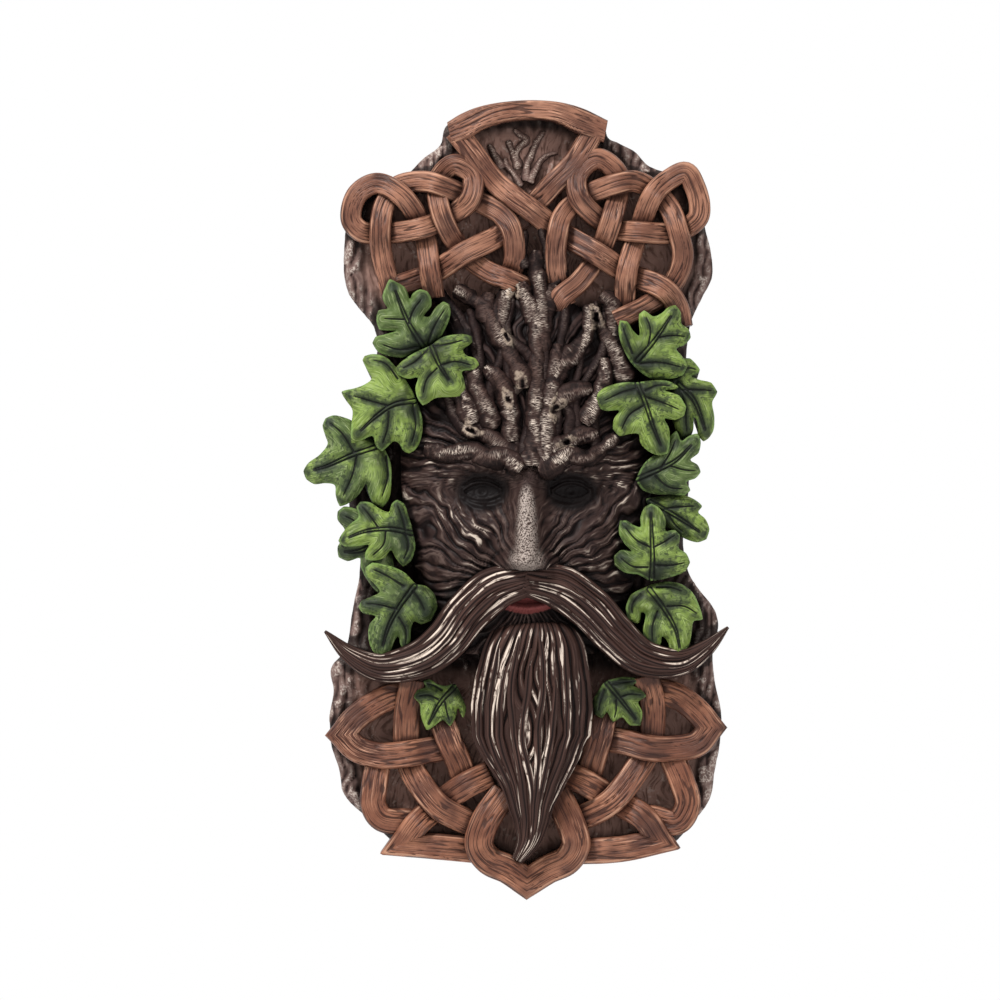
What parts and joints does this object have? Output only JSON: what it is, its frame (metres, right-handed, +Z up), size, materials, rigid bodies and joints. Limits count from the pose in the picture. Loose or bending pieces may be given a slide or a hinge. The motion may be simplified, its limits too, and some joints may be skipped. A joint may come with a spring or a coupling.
{
  "type": "green man wall plaque",
  "caption": "Cast resin wall plaque: a bearded forest face on a bark board, framed by woven ribbons and ivy leaves.",
  "frame": {"origin": "on the flat back, at the middle of the plaque's height and on its centre line", "axes": "+Z up the plaque, +Y into the wall, +X to the viewer's right; the carved front faces -Y"},
  "size_m": [0.1751, 0.0615, 0.329],
  "materials": {
    "bark": "hand-painted dark bark brown with a cream dry brush on the ridges",
    "ribbon": "hand-painted warm brown wood grain with dark grooves",
    "leaf": "hand-painted green, lighter at the tips, with dark veins",
    "lips": "hand-painted muted red"
  },
  "bodies": {
    "root": {"green_man_plaque": "bark"}
  },
  "joints": []
}
